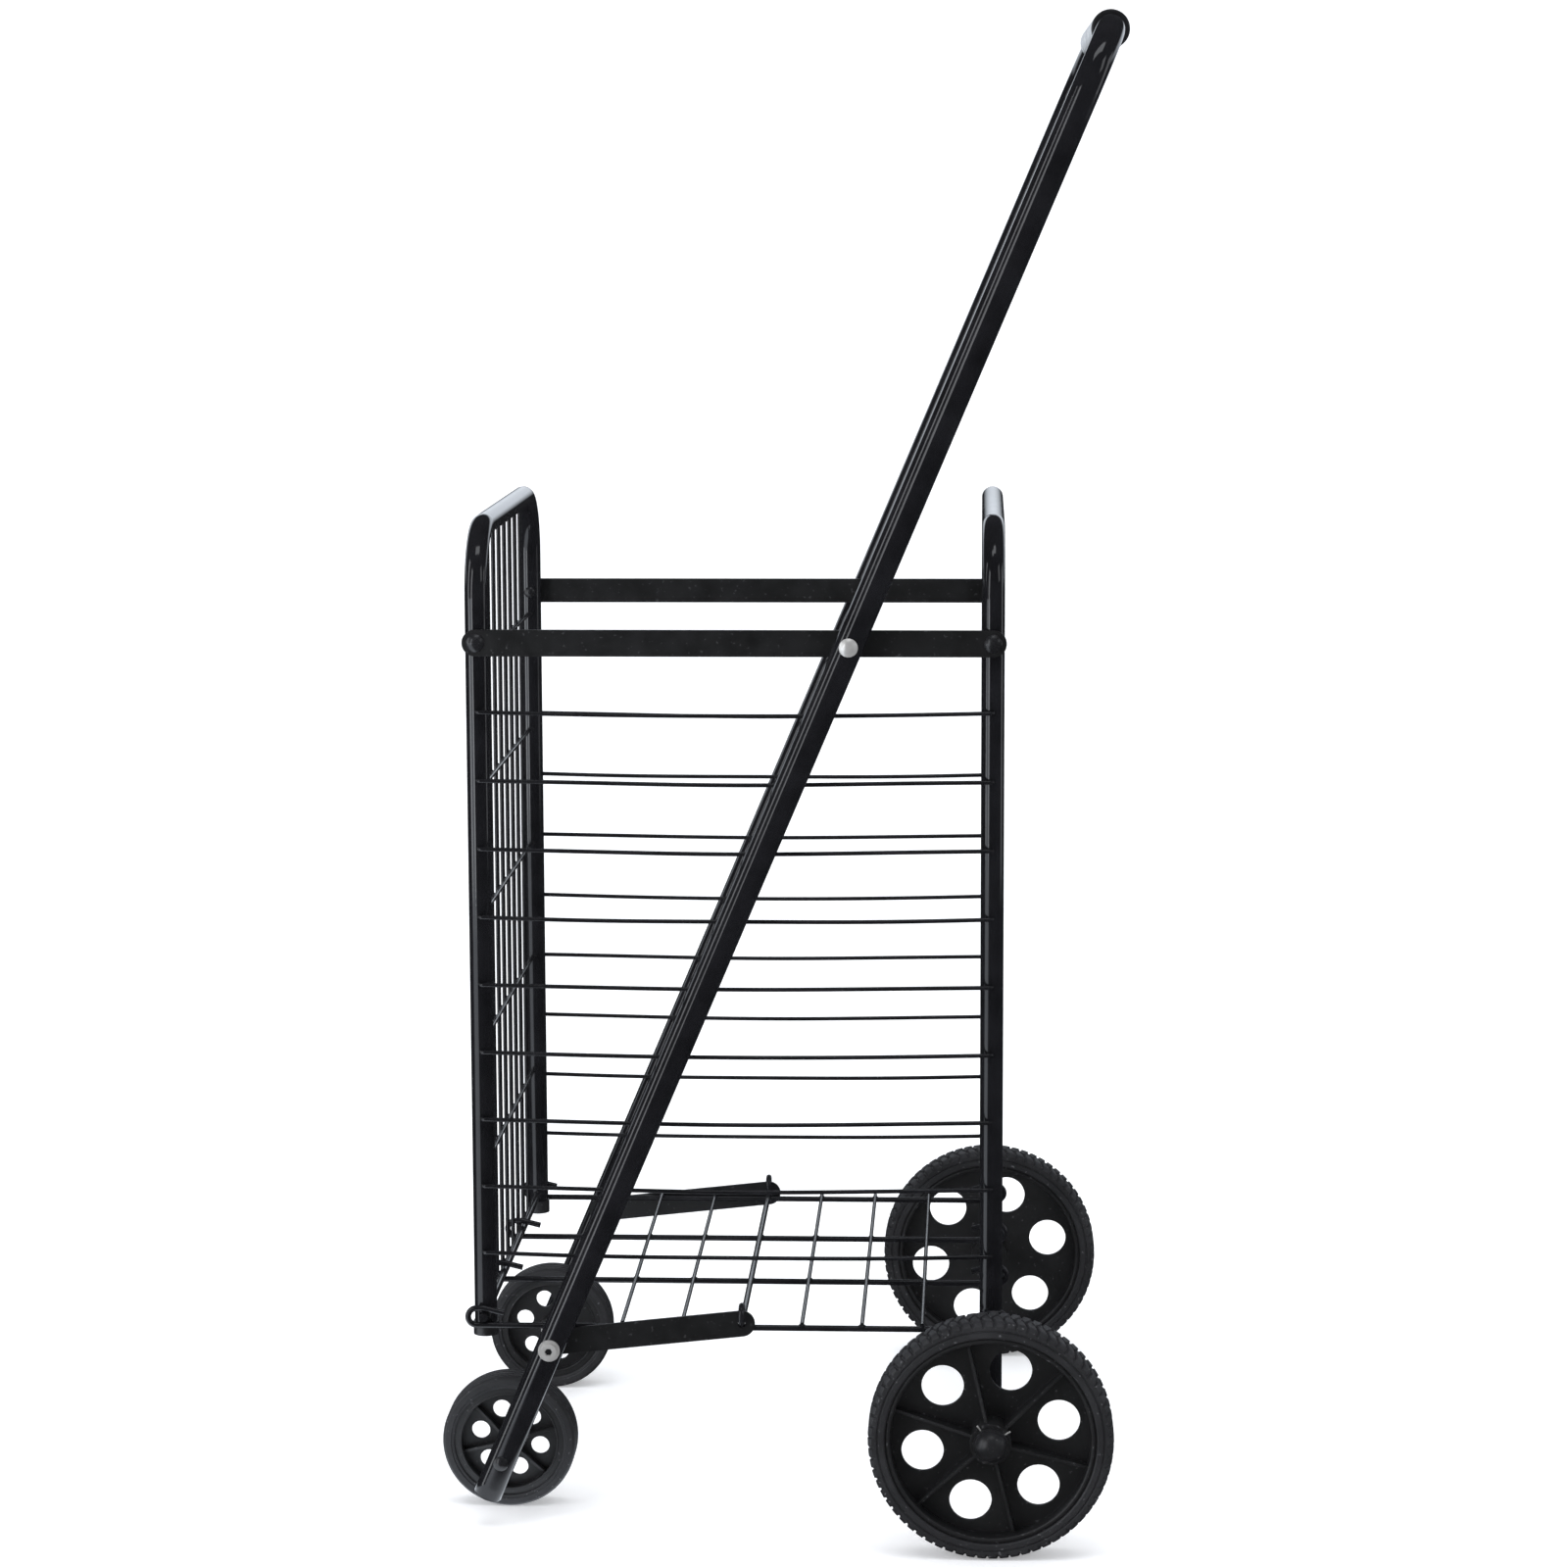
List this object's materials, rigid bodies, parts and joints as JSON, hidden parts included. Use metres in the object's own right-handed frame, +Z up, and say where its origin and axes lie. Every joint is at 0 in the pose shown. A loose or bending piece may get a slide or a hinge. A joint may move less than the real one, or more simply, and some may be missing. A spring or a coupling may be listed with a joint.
{
  "type": "folding shopping trolley",
  "caption": "Folding wire shopping trolley: tube frames and parallel side links that collapse with a leaning handle, rolling on disc wheels.",
  "frame": {"origin": "on the ground under the middle of the trolley's overall length, on its left-right middle plane", "axes": "+X towards the user's side (big wheels and grip), +Z up, +Y to the trolley's right"},
  "size_m": [0.4568, 0.5376, 0.998],
  "materials": {
    "tube_paint": "high-gloss black paint over steel tube",
    "link_paint": "satin black paint over flat steel",
    "wire_paint": "gloss black dip coat over steel wire",
    "black_rivet": "black oxide rivet, semi-gloss",
    "zinc": "bright zinc plate",
    "axle_steel": "plain drawn steel",
    "wheel_plastic": "moulded black plastic, fine texture",
    "tyre_rubber": "matt black rubber",
    "grip_rubber": "soft black sleeve",
    "cap_plastic": "moulded black plastic"
  },
  "bodies": {
    "rear_frame": {"rear_frame_tube": "tube_paint", "rear_grille": "wire_paint", "rear_bottom_rod": "wire_paint", "rear_rivets": "black_rivet", "rear_axle": "axle_steel", "rear_spacers": "cap_plastic", "axle_caps": "cap_plastic"},
    "upper_links": {"upper_link_left": "link_paint", "upper_link_right": "link_paint"},
    "front_frame": {"front_frame_tube": "tube_paint", "front_grille": "wire_paint", "front_bottom_rod": "wire_paint", "leg_caps": "cap_plastic", "front_rivets": "black_rivet"},
    "side_wires_1": {"side_wires_1": "wire_paint"},
    "side_wires_2": {"side_wires_2": "wire_paint"},
    "side_wires_3": {"side_wires_3": "wire_paint"},
    "side_wires_4": {"side_wires_4": "wire_paint"},
    "side_wires_5": {"side_wires_5": "wire_paint"},
    "side_wires_6": {"side_wires_6": "wire_paint"},
    "side_wires_7": {"side_wires_7": "wire_paint"},
    "side_wires_8": {"side_wires_8": "wire_paint"},
    "side_wires_9": {"side_wires_9": "wire_paint"},
    "handle": {"handle_tube": "tube_paint", "handle_grip": "grip_rubber", "handle_plugs": "cap_plastic", "handle_rivets": "zinc", "handle_washers": "cap_plastic", "front_axle": "black_rivet", "front_spacers": "cap_plastic", "front_collars": "zinc", "link_bolts": "zinc", "link_washers": "zinc"},
    "base": {"base_long_wires": "wire_paint", "base_cross_wires": "wire_paint", "lift_rod": "wire_paint"},
    "lower_links": {"lower_link_left": "link_paint", "lower_link_right": "link_paint", "link_nuts": "zinc"},
    "rear_wheel_left": {"rear_rim_left": "wheel_plastic", "rear_tyre_left": "tyre_rubber"},
    "rear_wheel_right": {"rear_rim_right": "wheel_plastic", "rear_tyre_right": "tyre_rubber"},
    "front_wheel_left": {"front_rim_left": "wheel_plastic", "front_tyre_left": "tyre_rubber"},
    "front_wheel_right": {"front_rim_right": "wheel_plastic", "front_tyre_right": "tyre_rubber"}
  },
  "joints": [
    {"name": "fold", "type": "hinge", "parent": "rear_frame", "child": "upper_links", "pos_m": [0.14228, 0, 0.592], "axis": [0, 1, 0], "range_deg": [0, 70]},
    {"name": "front_frame_pivot", "type": "hinge", "parent": "upper_links", "child": "front_frame", "pos_m": [-0.19572, 0, 0.592], "axis": [0, 1, 0], "range_deg": [-71, 1]},
    {"name": "base_fold", "type": "hinge", "parent": "rear_frame", "child": "base", "pos_m": [0.14228, 0, 0.1395], "axis": [0, 1, 0], "range_deg": [-1, 71]},
    {"name": "handle_pivot", "type": "hinge", "parent": "upper_links", "child": "handle", "pos_m": [0.04888, 0, 0.592], "axis": [0, 1, 0], "range_deg": [-85.51, 1]},
    {"name": "lower_link_pivot", "type": "hinge", "parent": "base", "child": "lower_links", "pos_m": [-0.02322, 0, 0.1374], "axis": [0, 1, 0], "range_deg": [-132.36, 1]},
    {"name": "side_wires_1_fold", "type": "hinge", "parent": "rear_frame", "child": "side_wires_1", "pos_m": [0.14228, 0, 0.5465], "axis": [0, 1, 0], "range_deg": [-1, 71]},
    {"name": "side_wires_2_fold", "type": "hinge", "parent": "rear_frame", "child": "side_wires_2", "pos_m": [0.14228, 0, 0.5011], "axis": [0, 1, 0], "range_deg": [-1, 71]},
    {"name": "side_wires_3_fold", "type": "hinge", "parent": "rear_frame", "child": "side_wires_3", "pos_m": [0.14228, 0, 0.4557], "axis": [0, 1, 0], "range_deg": [-1, 71]},
    {"name": "side_wires_4_fold", "type": "hinge", "parent": "rear_frame", "child": "side_wires_4", "pos_m": [0.14228, 0, 0.4103], "axis": [0, 1, 0], "range_deg": [-1, 71]},
    {"name": "side_wires_5_fold", "type": "hinge", "parent": "rear_frame", "child": "side_wires_5", "pos_m": [0.14228, 0, 0.3649], "axis": [0, 1, 0], "range_deg": [-1, 71]},
    {"name": "side_wires_6_fold", "type": "hinge", "parent": "rear_frame", "child": "side_wires_6", "pos_m": [0.14228, 0, 0.3195], "axis": [0, 1, 0], "range_deg": [-1, 71]},
    {"name": "side_wires_7_fold", "type": "hinge", "parent": "rear_frame", "child": "side_wires_7", "pos_m": [0.14228, 0, 0.2741], "axis": [0, 1, 0], "range_deg": [-1, 71]},
    {"name": "side_wires_8_fold", "type": "hinge", "parent": "rear_frame", "child": "side_wires_8", "pos_m": [0.14228, 0, 0.2287], "axis": [0, 1, 0], "range_deg": [-1, 71]},
    {"name": "side_wires_9_fold", "type": "hinge", "parent": "rear_frame", "child": "side_wires_9", "pos_m": [0.14228, 0, 0.1833], "axis": [0, 1, 0], "range_deg": [-1, 71]},
    {"name": "rear_wheel_left_spin", "type": "hinge", "parent": "rear_frame", "child": "rear_wheel_left", "pos_m": [0.14228, 0, 0.08], "axis": [0, 1, 0], "continuous": true},
    {"name": "rear_wheel_right_spin", "type": "hinge", "parent": "rear_frame", "child": "rear_wheel_right", "pos_m": [0.14228, 0, 0.08], "axis": [0, 1, 0], "continuous": true},
    {"name": "front_wheel_left_spin", "type": "hinge", "parent": "handle", "child": "front_wheel_left", "pos_m": [-0.18322, 0, 0.0452], "axis": [0, 1, 0], "continuous": true},
    {"name": "front_wheel_right_spin", "type": "hinge", "parent": "handle", "child": "front_wheel_right", "pos_m": [-0.18322, 0, 0.0452], "axis": [0, 1, 0], "continuous": true}
  ],
  "couplings": [
    {"joint": "front_frame_pivot", "follows": "fold", "ratio": -1},
    {"joint": "base_fold", "follows": "fold", "ratio": 1},
    {"joint": "handle_pivot", "follows": "fold", "ratio": -1.2073},
    {"joint": "lower_link_pivot", "follows": "fold", "ratio": -1.8766},
    {"joint": "side_wires_1_fold", "follows": "fold", "ratio": 1},
    {"joint": "side_wires_2_fold", "follows": "fold", "ratio": 1},
    {"joint": "side_wires_3_fold", "follows": "fold", "ratio": 1},
    {"joint": "side_wires_4_fold", "follows": "fold", "ratio": 1},
    {"joint": "side_wires_5_fold", "follows": "fold", "ratio": 1},
    {"joint": "side_wires_6_fold", "follows": "fold", "ratio": 1},
    {"joint": "side_wires_7_fold", "follows": "fold", "ratio": 1},
    {"joint": "side_wires_8_fold", "follows": "fold", "ratio": 1},
    {"joint": "side_wires_9_fold", "follows": "fold", "ratio": 1}
  ]
}
